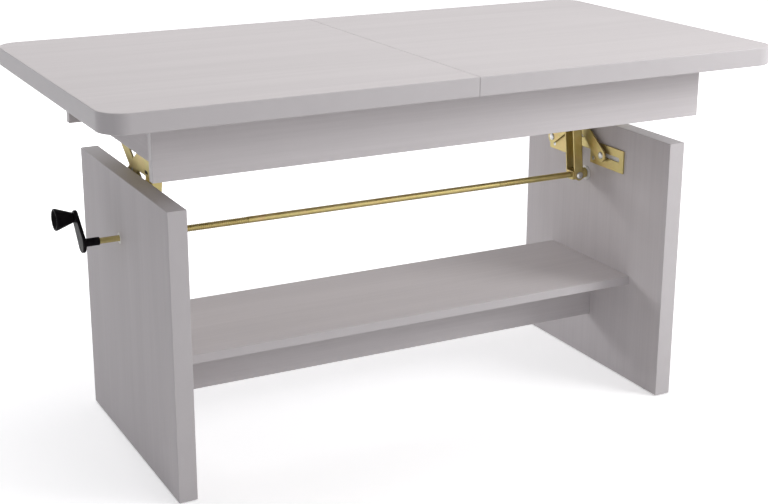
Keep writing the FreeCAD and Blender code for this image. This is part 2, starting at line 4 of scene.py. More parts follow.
import bmesh
import bpy
from mathutils import Matrix, Vector

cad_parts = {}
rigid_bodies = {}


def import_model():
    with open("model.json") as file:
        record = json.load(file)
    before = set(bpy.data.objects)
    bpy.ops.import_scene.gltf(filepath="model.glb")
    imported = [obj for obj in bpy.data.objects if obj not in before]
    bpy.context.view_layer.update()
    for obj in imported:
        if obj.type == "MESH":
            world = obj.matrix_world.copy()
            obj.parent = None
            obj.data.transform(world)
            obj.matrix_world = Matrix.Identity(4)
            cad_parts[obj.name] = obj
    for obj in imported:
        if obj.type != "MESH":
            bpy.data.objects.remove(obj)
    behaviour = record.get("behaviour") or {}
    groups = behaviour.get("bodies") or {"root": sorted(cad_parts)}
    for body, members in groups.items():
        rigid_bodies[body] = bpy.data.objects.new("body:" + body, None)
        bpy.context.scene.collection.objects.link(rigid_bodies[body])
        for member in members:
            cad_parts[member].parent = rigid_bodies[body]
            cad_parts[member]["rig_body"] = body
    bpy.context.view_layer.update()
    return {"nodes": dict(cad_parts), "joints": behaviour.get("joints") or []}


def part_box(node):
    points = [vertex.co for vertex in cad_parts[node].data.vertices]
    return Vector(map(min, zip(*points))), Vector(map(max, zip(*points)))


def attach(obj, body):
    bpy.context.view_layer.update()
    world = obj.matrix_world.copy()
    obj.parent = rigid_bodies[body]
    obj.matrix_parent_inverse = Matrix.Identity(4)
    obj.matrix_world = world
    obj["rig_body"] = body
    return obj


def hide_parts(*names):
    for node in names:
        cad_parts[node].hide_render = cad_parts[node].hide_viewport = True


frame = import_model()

joint_at = {joint["name"]: Vector(joint["pos_m"]) for joint in frame["joints"] if "pos_m" in joint}


# Side panels. Two 32 mm boards of chipboard faced with a pale grey wood print stand on edge, print upright.
# An edging strip is glued round each board and its arris is scraped round.
# The left board is drilled right through for the bush of the crank spindle.
mm = 0.001
merge_distance = 0.001 * mm
panel_arris = 1.0 * mm
spindle_bush_hole = 10.0 * mm
flat_share = 0.9
smooth_angle = math.radians(40)
noise_low = 0.3
noise_high = 0.7
print_pale = (0.646, 0.614, 0.618, 1)
print_deep = (0.604, 0.573, 0.577, 1)
print_gloss = 0.12
edging_pale = (0.555, 0.527, 0.532, 1)
edging_deep = (0.543, 0.515, 0.521, 1)


def add(tree, kind, feeds, output=0, **settings):
    """Adds a node whose feeds are linked from a socket or set as a value, and gives one of its outputs."""
    made = tree.nodes.new(kind)
    for setting, value in settings.items():
        setattr(made, setting, value)
    for socket, value in feeds.items():
        if isinstance(value, bpy.types.NodeSocket):
            tree.links.new(value, made.inputs[socket])
        else:
            made.inputs[socket].default_value = value
    return made.outputs[output]


def new_finish(name):
    finish = bpy.data.materials.new(name)
    finish.use_nodes = True
    tree = finish.node_tree
    at = tree.nodes.new("ShaderNodeTexCoord").outputs["Object"]
    return finish, tree, at


def mottle(tree, at, scale, detail=4.0, distortion=0.0):
    """Soft random tone with patches of about 1 / scale metres."""
    return add(tree, "ShaderNodeTexNoise",
               {"Vector": at, "Scale": scale, "Detail": detail, "Distortion": distortion})


def spread(tree, tone, low, high, to_low=0.0, to_high=1.0):
    """The tone with its range from low to high brought to another range."""
    return add(tree, "ShaderNodeMapRange", {0: tone, 1: low, 2: high, 3: to_low, 4: to_high})


def ranged(tree, noise, to_low=0.0, to_high=1.0):
    """Most of a noise's range brought to another range."""
    return spread(tree, noise, noise_low, noise_high, to_low, to_high)


def added(tree, base, tone, share):
    """The base tone with a share of another tone added to it."""
    return add(tree, "ShaderNodeMath", {0: tone, 1: share, 2: base}, operation="MULTIPLY_ADD")


def tint(tree, share, first, second):
    """Colour between two colours, or between a colour and a socket's colour."""
    return add(tree, "ShaderNodeMix", {0: share, 6: first, 7: second}, output=2, data_type="RGBA")


def dress(finish, colour, roughness, relief=None, strength=0.0, depth=0.0, gloss=0.5, metallic=0.0):
    """Gives a finish its colour, its roughness, its gloss and, where it has one, its fine relief."""
    tree = finish.node_tree
    coat = tree.nodes["Principled BSDF"]
    coat.inputs["Specular IOR Level"].default_value = gloss
    coat.inputs["Metallic"].default_value = metallic
    tree.links.new(colour, coat.inputs["Base Color"])
    tree.links.new(roughness, coat.inputs["Roughness"])
    if relief is not None:
        bump = add(tree, "ShaderNodeBump", {"Strength": strength, "Distance": depth, "Height": relief})
        tree.links.new(bump, coat.inputs["Normal"])
    return finish


def wood_print(name, grain, shift):
    """Laminate with a faint printed grain along one axis, pressed with fine pores."""
    finish, tree, at = new_finish(name)

    def drawn_out(across, along):
        scale = [across] * 3
        scale[grain] = along
        return add(tree, "ShaderNodeMapping", {"Vector": at, "Location": shift, "Scale": scale})

    figure = mottle(tree, drawn_out(across=24, along=1.3), scale=1.0, detail=4.0, distortion=0.8)
    fibre = mottle(tree, drawn_out(across=210, along=3.5), scale=1.0, detail=3.0, distortion=0.3)
    pore = mottle(tree, drawn_out(across=820, along=16.0), scale=1.0, detail=2.0)
    pressed = spread(tree, pore, low=0.56, high=0.72)
    shade = added(tree, added(tree, figure, fibre, share=0.9), pressed, share=-0.22)
    return dress(finish, tint(tree, spread(tree, shade, low=0.68, high=1.22), print_deep, print_pale),
                 ranged(tree, fibre, to_low=0.54, to_high=0.66), added(tree, fibre, pressed, share=-1.0),
                 strength=0.25, depth=0.12 * mm, gloss=print_gloss)


def edging_strip():
    """Plain plastic edging in the boards' colour, with a fine matt stipple."""
    finish, tree, at = new_finish("edging_strip")
    cloud = mottle(tree, at, scale=35.0, detail=3.0)
    stipple = mottle(tree, at, scale=2600.0, detail=2.0)
    return dress(finish, tint(tree, ranged(tree, cloud), edging_deep, edging_pale),
                 ranged(tree, stipple, to_low=0.40, to_high=0.50), stipple, strength=0.2, depth=0.06 * mm)


def circle(u, v, radius, sides=32):
    steps = [2 * math.pi * number / sides for number in range(sides)]
    return [(u + radius * math.cos(step), v + radius * math.sin(step)) for step in steps]


def oblong(low_u, high_u, low_v, high_v):
    return [(low_u, low_v), (high_u, low_v), (high_u, high_v), (low_u, high_v)]


def clean(shape, distance=merge_distance):
    """Welds points that coincide and drops faces that have no area."""
    bmesh.ops.remove_doubles(shape, verts=shape.verts, dist=distance)
    bmesh.ops.dissolve_degenerate(shape, dist=distance, edges=shape.edges)


def placed(name, data):
    """An object of this data, set in the scene."""
    made = bpy.data.objects.new(name, data)
    bpy.context.scene.collection.objects.link(made)
    return made


def shape_of(*meshes):
    """One shape to work on, of one mesh or of several that touch or stand apart."""
    shape = bmesh.new()
    for mesh in meshes:
        shape.from_mesh(mesh)
    return shape


def meshed(shape, mesh):
    """The mesh with a shape written into it."""
    shape.to_mesh(mesh)
    shape.free()
    return mesh


def cut_flat(loops, facing, low, high, arris=0.0):
    """Mesh of a piece cut from flat stock. The first loop is its outline and the others are its holes.
    Facing is the axis across its thickness, 0, 1 or 2, and the arris is how far its edges are rounded."""
    curve = bpy.data.curves.new("stock", "CURVE")
    curve.dimensions = "2D"
    curve.fill_mode = "BOTH"
    curve.extrude = (high - low) / 2 - arris
    curve.bevel_depth = arris
    curve.bevel_resolution = 2
    curve.offset = -arris
    for loop in loops:
        line = curve.splines.new("POLY")
        line.points.add(len(loop) - 1)
        line.use_cyclic_u = True
        for point, (u, v) in zip(line.points, loop):
            point.co = (u, v, 0, 1)
    stock = placed("stock", curve)
    bpy.context.view_layer.update()
    mesh = bpy.data.meshes.new_from_object(stock)
    bpy.data.objects.remove(stock)
    shape = shape_of(mesh)
    bmesh.ops.remove_doubles(shape, verts=shape.verts, dist=merge_distance)
    level = [face for face in shape.faces if len({round(corner.co.z, 6) for corner in face.verts}) == 1]
    bmesh.ops.beautify_fill(shape, faces=level, edges=shape.edges)
    turn = (Matrix(((0, 0, 1), (1, 0, 0), (0, 1, 0))), Matrix(((1, 0, 0), (0, 0, -1), (0, 1, 0))),
            Matrix.Identity(3))[facing].to_4x4()
    middle = Vector((0, 0, 0))
    middle[facing] = (low + high) / 2
    shape.transform(Matrix.Translation(middle) @ turn)
    return meshed(shape, mesh)


def fit(name, mesh, stuff, body):
    """Makes a piece that rides on a body.
    Its stuff is its finishes and one of the record's material slots, or None for none. The slot is not used."""
    finishes, slot = stuff
    piece = placed(name, mesh)
    mesh.materials.clear()
    for finish in finishes:
        mesh.materials.append(finish)
    mesh.shade_smooth()
    mesh.set_sharp_from_angle(angle=smooth_angle)
    evened = piece.modifiers.new("even shading", "WEIGHTED_NORMAL")
    evened.keep_sharp = True
    evened.weight = 100
    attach(piece, body)
    return piece


def show(name, mesh, stuff, *nodes):
    """Makes the piece that stands for these CAD nodes, on their body."""
    piece = fit(name, mesh, stuff, frame["nodes"][nodes[0]]["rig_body"])
    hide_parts(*nodes)
    return piece


def laminated(name, grain, shift):
    return [wood_print(name + "_print", grain, shift), edging], "laminate"


def board(name, node, facing, grain, arris, shift, holes=()):
    """A laminated board in the place of a CAD node, with the wood print on its faces and edging round it.
    Grain is the axis along which the print runs, and the shift is where in the print it is cut."""
    low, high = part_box(node)
    u, v = ((1, 2), (0, 2), (0, 1))[facing]
    loops = [oblong(low[u], high[u], low[v], high[v]), *holes]
    mesh = cut_flat(loops, facing, low[facing], high[facing], arris)
    piece = show(name, mesh, laminated(name, grain, shift), node)
    for side in mesh.polygons:
        side.material_index = 0 if abs(side.normal[facing]) > flat_share else 1
    return piece


edging = edging_strip()
spindle_line = joint_at["crank_turn"]
board("right_panel", "side_panel_right", facing=0, grain=2, arris=panel_arris, shift=(3.1, 0.4, 1.7))
board("left_panel", "side_panel_left", facing=0, grain=2, arris=panel_arris, shift=(8.3, 5.2, 4.6),
      holes=[circle(spindle_line.y, spindle_line.z, spindle_bush_hole, sides=48)])


# Foot glides. Four round black plastic pads, 2 mm thick, are nailed under the panels' lower edges.
# Their rims are rounded and the nail's head sits in a dish in the middle.
glide_radius = 14.0 * mm
glide_rim = 1.6 * mm
glide_rim_height = 1.0 * mm
glide_shoulder = 0.6 * mm
glide_shoulder_height = 0.3 * mm
dish_radius = 3.0 * mm
dish_slope = 0.8 * mm
dish_depth = 0.9 * mm
black_deep = (0.0085, 0.0072, 0.0086, 1)
black_rubbed = (0.0130, 0.0114, 0.0134, 1)
black_gloss = 0.035


def turned(profile, start, way, sides=32):
    """Mesh turned about an axis. The profile holds (distance along the way, radius), and closes on itself
    where its two ends are off the axis, as in a ring."""
    shape = bmesh.new()
    rings = []
    for along, radius in profile:
        spots = 1 if radius == 0 else sides
        steps = [2 * math.pi * number / sides for number in range(spots)]
        rings.append([shape.verts.new((radius * math.cos(s), radius * math.sin(s), along)) for s in steps])
    nexts = rings[1:] + ([] if profile[0][1] == 0 else rings[:1])
    for ring, after in zip(rings, nexts):
        for number in range(sides):
            corners = [ring[number % len(ring)], ring[(number + 1) % len(ring)],
                       after[(number + 1) % len(after)], after[number % len(after)]]
            shape.faces.new(list(dict.fromkeys(corners)))
    bmesh.ops.recalc_face_normals(shape, faces=shape.faces)
    upright = Vector(way).to_track_quat("Z", "Y").to_matrix().to_4x4()
    shape.transform(Matrix.Translation(start) @ upright)
    return meshed(shape, bpy.data.meshes.new("turned"))


def together(meshes):
    """One mesh of several."""
    return meshed(shape_of(*meshes), bpy.data.meshes.new("together"))


def moulded_black():
    """Black plastic from a mould with a fine spark-eroded surface, polished a little where hands rub it."""
    finish, tree, at = new_finish("moulded_black")
    cloud = mottle(tree, at, scale=90.0, detail=4.0)
    return dress(finish, tint(tree, ranged(tree, cloud), black_deep, black_rubbed),
                 ranged(tree, cloud, to_low=0.26, to_high=0.38), mottle(tree, at, scale=2200.0, detail=3.0),
                 strength=0.22, depth=0.08 * mm, gloss=black_gloss)


black_plastic = [moulded_black()], "black_plastic"
glide_low, glide_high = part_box("foot_glides")
glide_profile = [(dish_depth, 0), (dish_depth, dish_radius), (0, dish_radius + dish_slope),
                 (0, glide_radius - glide_rim), (glide_shoulder_height, glide_radius - glide_shoulder),
                 (glide_rim_height, glide_radius), (glide_high.z, glide_radius), (glide_high.z, 0)]
glides = []
for x in (glide_low.x + glide_radius, glide_high.x - glide_radius):
    for y in (glide_low.y + glide_radius, glide_high.y - glide_radius):
        glides.append(turned(glide_profile, (x, y, 0), (0, 0, 1)))
show("foot_pads", together(glides), black_plastic, "foot_glides")


# Shelf and its rail. A 16 mm shelf lies between the panels on a 100 mm rail, on edge under its middle.
# Both are laminated boards with the print lengthways, fixed to the panels with hidden beech dowels.
shelf_arris = 0.8 * mm
beech_deep = (0.50, 0.32, 0.17, 1)
beech_pale = (0.64, 0.45, 0.27, 1)
beech_fleck = (0.36, 0.20, 0.10, 1)


def sanded_beech():
    """Bare beech with long fibres and short darker flecks."""
    finish, tree, at = new_finish("sanded_beech")
    long_grain = add(tree, "ShaderNodeMapping", {"Vector": at, "Scale": (6, 90, 90)})
    fibre = mottle(tree, long_grain, scale=3.0, detail=5.0, distortion=0.4)
    short_grain = add(tree, "ShaderNodeMapping", {"Vector": at, "Scale": (60, 420, 420)})
    fleck = mottle(tree, short_grain, scale=3.0, detail=2.0)
    plain = tint(tree, ranged(tree, fibre), beech_deep, beech_pale)
    return dress(finish, tint(tree, spread(tree, fleck, low=0.62, high=0.72), plain, beech_fleck),
                 ranged(tree, fibre, to_low=0.5, to_high=0.66), fibre, strength=0.3, depth=0.2 * mm)


def coat_node(stuff, *nodes):
    """Gives CAD nodes that stay, mostly hidden ones, their finish."""
    for node in nodes:
        kept = frame["nodes"][node].data.materials
        kept.clear()
        kept.append(stuff[0][0])


beech = [sanded_beech()], "beech"
board("shelf_board", "shelf", facing=2, grain=0, arris=shelf_arris, shift=(1.9, 7.7, 2.3))
board("shelf_stiffener", "shelf_rail", facing=1, grain=0, arris=shelf_arris, shift=(6.4, 2.8, 9.1))
coat_node(beech, "shelf_dowels")


# Spindle bushes. Flanged nylon bushes are pressed into the panels, right through the left one
# and into a blind hole in the right one. Their mouths are chamfered so that the spindle finds its way in.
bush_bore = 6.05 * mm
bush_body = 9.95 * mm
bush_chamfer = 0.6 * mm
bush_flange = 14.0 * mm
flange_thickness = 2.0 * mm
flange_round = 0.5 * mm
nylon_deep = (0.76, 0.755, 0.74, 1)
nylon_pale = (0.84, 0.835, 0.82, 1)


def moulded_nylon():
    """Milky nylon, matt from the mould."""
    finish, tree, at = new_finish("moulded_nylon")
    cloud = mottle(tree, at, scale=120.0, detail=3.0)
    return dress(finish, tint(tree, ranged(tree, cloud), nylon_deep, nylon_pale),
                 ranged(tree, cloud, to_low=0.36, to_high=0.48), mottle(tree, at, scale=900.0, detail=2.0),
                 strength=0.15, depth=0.1 * mm)


def on_spindle(x):
    return Vector((x, spindle_line.y, spindle_line.z))


def bush_profile(length):
    return [(0, bush_bore + bush_chamfer), (0, bush_flange - flange_round), (flange_round, bush_flange),
            (flange_thickness, bush_flange), (flange_thickness, bush_body),
            (length - bush_chamfer, bush_body), (length, bush_body - bush_chamfer),
            (length, bush_bore), (bush_chamfer, bush_bore)]


nylon = [moulded_nylon()], "nylon"
left_panel_low, left_panel_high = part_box("side_panel_left")
bush_low, bush_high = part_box("spindle_bushes")
left_mouth = on_spindle(left_panel_high.x + flange_thickness)
right_mouth = on_spindle(-left_mouth.x)
show("bushes", together([turned(bush_profile(left_mouth.x - bush_low.x), left_mouth, (-1, 0, 0)),
                         turned(bush_profile(bush_high.x - right_mouth.x), right_mouth, (1, 0, 0))]),
     nylon, "spindle_bushes")


# Spindle. A 12 mm steel bar, yellow zinc plated, runs the whole way between the panels.
# Each end carries a rolled thread, left hand and right hand, for the blocks that ride on it.
# Its left end is milled to a hexagon that goes into the crank.
bar_radius = 6.0 * mm
bar_chamfer = 0.7 * mm
thread_depth = 0.85 * mm
thread_pitch = 3.5 * mm
thread_start = 258.0 * mm
thread_stop = 449.0 * mm
thread_merge = 0.0001 * mm
thread_shares = (0.0, 0.18, 0.34, 0.66, 0.82)
hexagon_inset = 3.0 * mm
hexagon_flats = 9.0 * mm
hexagon_ease = 0.5 * mm
hexagon_lead = 0.6 * mm
zinc_deep = (0.47, 0.380, 0.152, 1)
zinc_pale = (0.55, 0.462, 0.216, 1)
zinc_green = (0.455, 0.437, 0.187, 1)
zinc_pink = (0.55, 0.380, 0.199, 1)


def yellow_zinc():
    """Zinc plate with a yellow passivate that shifts a little towards green and pink."""
    finish, tree, at = new_finish("yellow_zinc")
    cloud = mottle(tree, at, scale=70.0, detail=5.0, distortion=0.5)
    film = mottle(tree, at, scale=28.0, detail=3.0, distortion=1.2)
    plate = tint(tree, ranged(tree, cloud), zinc_deep, zinc_pale)
    greener = tint(tree, spread(tree, film, low=0.52, high=0.72, to_low=0.0, to_high=0.40), plate, zinc_green)
    pinker = tint(tree, spread(tree, film, low=0.47, high=0.30, to_low=0.0, to_high=0.45), greener, zinc_pink)
    return dress(finish, pinker, ranged(tree, cloud, to_low=0.40, to_high=0.54),
                 mottle(tree, at, scale=1400.0, detail=3.0), strength=0.12, depth=0.1 * mm, metallic=1.0)


def threaded(start, stop, hand, sides=24):
    """A run of rolled thread about the spindle's line, with flat crests and roots, closed at its ends."""
    root = bar_radius - thread_depth
    shape = bmesh.new()
    steps = round((stop - start) / thread_pitch * sides)
    section = tuple(zip(thread_shares, (root, root, bar_radius, bar_radius, root)))
    rows = []
    for step in range(steps + sides + 1):
        angle = hand * 2 * math.pi * step / sides
        row = []
        for share, radius in section:
            x = start + thread_pitch * (step / sides + share - 1)
            held = min(max(x, start), stop)
            radius = radius if held == x else root
            row.append(shape.verts.new((held, radius * math.cos(angle), radius * math.sin(angle))))
        rows.append(row)
    for row, after in zip(rows, rows[1:]):
        for number in range(len(section) - 1):
            shape.faces.new((row[number], row[number + 1], after[number + 1], after[number]))
    for number in range(len(rows) - sides - 1):
        next_turn = number + sides
        shape.faces.new((rows[next_turn][0], rows[number][-1], rows[number + 1][-1], rows[next_turn + 1][0]))
    clean(shape, thread_merge)
    bmesh.ops.holes_fill(shape, edges=[edge for edge in shape.edges if edge.is_boundary])
    bmesh.ops.recalc_face_normals(shape, faces=shape.faces)
    shape.transform(Matrix.Translation((0, spindle_line.y, spindle_line.z)))
    return meshed(shape, bpy.data.meshes.new("thread"))


def bar_profile(length):
    return [(0, 0), (0, bar_radius - bar_chamfer), (bar_chamfer, bar_radius),
            (length - bar_chamfer, bar_radius), (length, bar_radius - bar_chamfer), (length, 0)]


zinc = [yellow_zinc()], "yellow_zinc_steel"
spindle_low, spindle_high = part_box("spindle")
hexagon_start = left_panel_low.x + hexagon_inset
hexagon_radius = hexagon_flats / math.sqrt(3)
hexagon_length = hexagon_start - spindle_low.x
hexagon = [(0, 0), (0, hexagon_radius - hexagon_ease), (hexagon_lead, hexagon_radius),
           (hexagon_length, hexagon_radius), (hexagon_length, 0)]
show("spindle_bar", together([
    turned(hexagon, on_spindle(spindle_low.x), (1, 0, 0), sides=6),
    turned(bar_profile(-thread_stop - hexagon_start), on_spindle(hexagon_start), (1, 0, 0)),
    threaded(-thread_stop, -thread_start, -1),
    turned(bar_profile(2 * thread_start), on_spindle(-thread_start), (1, 0, 0)),
    threaded(thread_start, thread_stop, 1),
    turned(bar_profile(spindle_high.x - thread_stop), on_spindle(thread_stop), (1, 0, 0)),
]), zinc, "spindle")


# Spindle collars. A steel ring with a grub screw on each side keeps the spindle from shifting in its bushes.
# They are turned from bar, chamfered and zinc plated like the spindle.
collar_low, collar_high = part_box("spindle_collars")
collar_radius = 10.0 * mm
collar_width = 7.0 * mm
collar_edge = 0.8 * mm
grub_radius = 1.6 * mm
grub_depth = 1.4 * mm
grub_cut = 3.0 * mm


def worked(mesh, tool, operation):
    """The mesh with a tool's shape cut from it, added to it, or with only what the two share."""
    blank = placed("blank", mesh)
    cutter = placed("cutter", tool)
    step = blank.modifiers.new("step", "BOOLEAN")
    step.operation = operation
    step.object = cutter
    step.solver = "EXACT"
    bpy.context.view_layer.update()
    made = bpy.data.meshes.new_from_object(blank.evaluated_get(bpy.context.evaluated_depsgraph_get()))
    bpy.data.objects.remove(blank)
    bpy.data.objects.remove(cutter)
    shape = shape_of(made)
    clean(shape)
    return meshed(shape, made)


def peg(length, radius):
    """Profile of a plain peg."""
    return [(0, 0), (0, radius), (length, radius), (length, 0)]


def collar(start):
    profile = [(0, bush_bore), (0, collar_radius - collar_edge), (collar_edge, collar_radius),
               (collar_width - collar_edge, collar_radius), (collar_width, collar_radius - collar_edge),
               (collar_width, bush_bore)]
    ring = turned(profile, start, (1, 0, 0), sides=48)
    bottom = start + Vector((collar_width / 2, 0, collar_radius - grub_depth))
    socket = turned(peg(grub_cut, grub_radius), bottom, (0, 0, 1), sides=6)
    return worked(ring, socket, "DIFFERENCE")


show("stop_collars", together([collar(on_spindle(x)) for x in (collar_low.x, collar_high.x - collar_width)]),
     zinc, "spindle_collars")


# Wall plates and upper plates. Each is pressed from 3 mm steel with a pivot hole, a slot for the sliding pin,
# countersunk screw holes and a notch that clears the lever. The wall plate is screwed to the panel,
# and the upper one, turned over and with a slotted lug that hangs from it, to the frame's cross rail.
pivot_low = joint_at["arm_a_right_swing"]
crossing = joint_at["arm_b_right_swing"]
pivot_back = pivot_low.y
pivot_front = 2 * crossing.y - pivot_back
lower_pivot = pivot_low.z
upper_pivot = 2 * crossing.z - lower_pivot
sheet_arris = 0.4 * mm
plate_corner = 1.5 * mm
notch_half = 16.5 * mm
notch_depth = 26.0 * mm
screw_edge = 10.0 * mm
end_screw_inset = 4.0 * mm
screw_head = 4.0 * mm
screw_seat = screw_head + 0.1 * mm
wall_pivot_hole = 4.05 * mm
wall_slot = 4.5 * mm
upper_hole = 5.2 * mm
slot_back = 30.0 * mm
slot_front = 45.0 * mm
plate_near = 20.0 * mm
lug_half = 42.0 * mm
lug_slot_rise = 6.5 * mm
lug_slot_half = 5.0 * mm
lug_slot_radius = 3.0 * mm


def softened(corners, radii, steps=5):
    """The closed outline through these corners, each rounded to its radius."""
    loop = []
    for number, radius in enumerate(radii):
        here = Vector(corners[number])
        before = (Vector(corners[number - 1]) - here).normalized()
        after = (Vector(corners[(number + 1) % len(corners)]) - here).normalized()
        if radius == 0:
            loop.append(tuple(here))
            continue
        half = before.angle(after) / 2
        middle = here + (before + after).normalized() * (radius / math.sin(half))
        first = here + before * (radius / math.tan(half)) - middle
        last = here + after * (radius / math.tan(half)) - middle
        start = math.atan2(first.y, first.x)
        swing = (math.atan2(last.y, last.x) - start + math.pi) % (2 * math.pi) - math.pi
        for step in range(steps + 1):
            angle = start + swing * step / steps
            loop.append((middle.x + radius * math.cos(angle), middle.y + radius * math.sin(angle)))
    return loop


def round_bar(first, second, first_radius, second_radius, steps=10):
    """Outline of a flat bar or a slot with two round ends, which may differ in size."""
    way = Vector(second) - Vector(first)
    heading = math.atan2(way.y, way.x)
    lean = math.acos((first_radius - second_radius) / way.length)
    loop = []
    for middle, radius, start, stop in ((second, second_radius, heading - lean, heading + lean),
                                        (first, first_radius, heading + lean, heading + 2 * math.pi - lean)):
        for step in range(steps + 1):
            angle = start + (stop - start) * step / steps
            loop.append((middle[0] + radius * math.cos(angle), middle[1] + radius * math.sin(angle)))
    return loop


def pin_slot(height, radius):
    """Outline of the slot that the sliding pin runs in."""
    return round_bar((pivot_front - slot_front, height), (pivot_front + slot_back, height), radius, radius)


def lug_slot(height, radius):
    """Outline of the short slot in a lug."""
    return round_bar((pivot_front - lug_slot_half, height), (pivot_front + lug_slot_half, height),
                     radius, radius)


def plate_screw_spots(node, pivot):
    low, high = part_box(node)
    middle = (low.y + high.y) / 2
    far = low.z if pivot == lower_pivot else high.z
    inward = 1 if pivot == lower_pivot else -1
    spots = (pivot_back - end_screw_inset, middle + notch_half + screw_edge, middle - notch_half - screw_edge)
    return [(y, far + inward * screw_edge) for y in spots]


def lift_plate(name, node, pivot, hole, slot):
    low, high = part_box(node)
    middle = (low.y + high.y) / 2
    lugged = pivot == upper_pivot
    far, near = (high.z, pivot - plate_near) if lugged else (low.z, high.z)
    notch = far + (-notch_depth if lugged else notch_depth)
    notch_front, notch_back = middle - notch_half, middle + notch_half
    corners = [(low.y, far), (notch_front, far), (notch_front, notch), (notch_back, notch),
               (notch_back, far), (high.y, far), (high.y, near), (low.y, near)]
    loops = [circle(pivot_back, pivot, hole), pin_slot(pivot, slot)]
    if lugged:
        corners[7:7] = [(pivot_front + lug_half, near), (pivot_front + lug_half, low.z),
                        (pivot_front - lug_half, low.z), (pivot_front - lug_half, near)]
        loops.append(lug_slot(low.z + lug_slot_rise, lug_slot_radius))
    loops.insert(0, softened(corners, [plate_corner] * len(corners)))
    loops += [circle(y, z, screw_seat) for y, z in plate_screw_spots(node, pivot)]
    show(name, cut_flat(loops, 0, low.x, high.x, sheet_arris), zinc, node)


for side in ("right", "left"):
    lift_plate(side + "_wall_plate", "wall_plate_" + side, lower_pivot, wall_pivot_hole, wall_slot)
    lift_plate(side + "_rail_plate", "upper_plate_" + side, upper_pivot, upper_hole, upper_hole)


# Slot strips and lug plugs. A thin strip of pale nylon lies on the panel behind each wall plate's slot, paler
# than the board so that the slot shows bright: painted light.
# A black plastic plug fills the slot of each lug so that the slot shows dark: painted shade.
strip_thickness = 0.35 * mm
strip_arris = 0.1 * mm
strip_clearance = 0.1 * mm
plug_arris = 0.6 * mm
plug_clearance = 0.05 * mm
both_sides = (("right", 1), ("left", -1))


def board_side(node, sign):
    """Where a plate lies against its board."""
    return sign * max(abs(corner.x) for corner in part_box(node))


for side, sign in both_sides:
    plate = "wall_plate_" + side
    face = board_side(plate, sign)
    ends = sorted((face, face - sign * strip_thickness))
    # The pale strip is painted light: it makes the slot look bright.
    strip = cut_flat([pin_slot(lower_pivot, wall_slot - strip_clearance)], 0, *ends, strip_arris)
    fit(side + "_slot_light_strip", strip, nylon, frame["nodes"][plate]["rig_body"])
    plate = "upper_plate_" + side
    low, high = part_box(plate)
    # The black plug is painted shade: it makes the lug's slot look dark.
    outline = lug_slot(low.z + lug_slot_rise, lug_slot_radius - plug_clearance)
    plug = cut_flat([outline], 0, low.x, high.x, plug_arris)
    fit(side + "_lug_shade_plug", plug, black_plastic, frame["nodes"][plate]["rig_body"])


# Scissor arms. Two flat steel bars with round ends cross beside each panel, punched for their three pins.
# The outer one turns on the wall plate's pivot and the inner one slides in its slot.
arm_radius = 13.0 * mm
arm_bore = 4.05 * mm


def scissor_arm(name, node, low_y, high_y):
    low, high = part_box(node)
    spots = [(low_y, lower_pivot), (high_y, upper_pivot), (crossing.y, crossing.z)]
    loops = [round_bar(spots[0], spots[1], arm_radius, arm_radius, steps=14)]
    loops += [circle(y, z, arm_bore) for y, z in spots]
    show(name, cut_flat(loops, 0, low.x, high.x, sheet_arris), zinc, node)


for side in ("right", "left"):
    scissor_arm(side + "_outer_arm", "scissor_arm_a_" + side, pivot_back, pivot_front)
    scissor_arm(side + "_inner_arm", "scissor_arm_b_" + side, pivot_front, pivot_back)


# Rivets of the scissor. Shouldered steel rivets with domed heads join the arms to each other and to the
# plates. They are bright zinc plated, and their heads face the middle of the table.
rivet_shank = 4.0 * mm
rivet_head = 7.0 * mm
rivet_dome = 2.6 * mm
tail_chamfer = 0.4 * mm
tail_clearance = 0.5 * mm
head_clearance = 0.03 * mm
head_edge = 0.3 * mm
head_undercut = 0.2 * mm
dome_steps = 6
steel_deep = (0.50, 0.50, 0.49, 1)
steel_pale = (0.68, 0.675, 0.66, 1)


def bright_zinc():
    """Bright zinc on steel, with faint clouding and a fine grain."""
    finish, tree, at = new_finish("bright_zinc")
    cloud = mottle(tree, at, scale=110.0, detail=4.0, distortion=0.4)
    return dress(finish, tint(tree, ranged(tree, cloud), steel_deep, steel_pale),
                 ranged(tree, cloud, to_low=0.26, to_high=0.42), mottle(tree, at, scale=1600.0, detail=3.0),
                 strength=0.05, depth=0.05 * mm, metallic=1.0)


def rivet(tail_x, seat_x, y, z):
    length = abs(seat_x - tail_x) + head_clearance
    rim = length + head_edge
    profile = [(0, 0), (0, rivet_shank - tail_chamfer), (tail_chamfer, rivet_shank), (length, rivet_shank),
               (length, rivet_head - head_undercut), (rim, rivet_head)]
    for step in range(1, dome_steps):
        angle = math.pi / 2 * step / dome_steps
        profile.append((rim + (rivet_dome - head_edge) * math.sin(angle), rivet_head * math.cos(angle)))
    profile.append((length + rivet_dome, 0))
    return turned(profile, (tail_x, y, z), (seat_x - tail_x, 0, 0))


steel = [bright_zinc()], "bright_steel"
base_rivets = []
for side, sign in both_sides:
    panel_face = board_side("wall_plate_" + side, sign)
    rail_face = board_side("upper_plate_" + side, sign)
    outer_arm = sorted(abs(corner.x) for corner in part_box("scissor_arm_a_" + side))
    inner_arm = sorted(abs(corner.x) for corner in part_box("scissor_arm_b_" + side))
    base_rivets.append(rivet(panel_face, sign * outer_arm[0], pivot_back, lower_pivot))
    short = sign * tail_clearance
    show(side + "_outer_arm_rivets", together([
        rivet(sign * outer_arm[1], sign * inner_arm[0], crossing.y, crossing.z),
        rivet(rail_face - short, sign * outer_arm[0], pivot_front, upper_pivot),
    ]), steel, "arm_a_rivets_" + side)
    show(side + "_inner_arm_rivets", together([
        rivet(panel_face - short, sign * inner_arm[0], pivot_front, lower_pivot),
        rivet(rail_face - short, sign * inner_arm[0], pivot_back, upper_pivot),
    ]), steel, "arm_b_rivets_" + side)
show("wall_rivets", together(base_rivets), steel, "base_rivets")


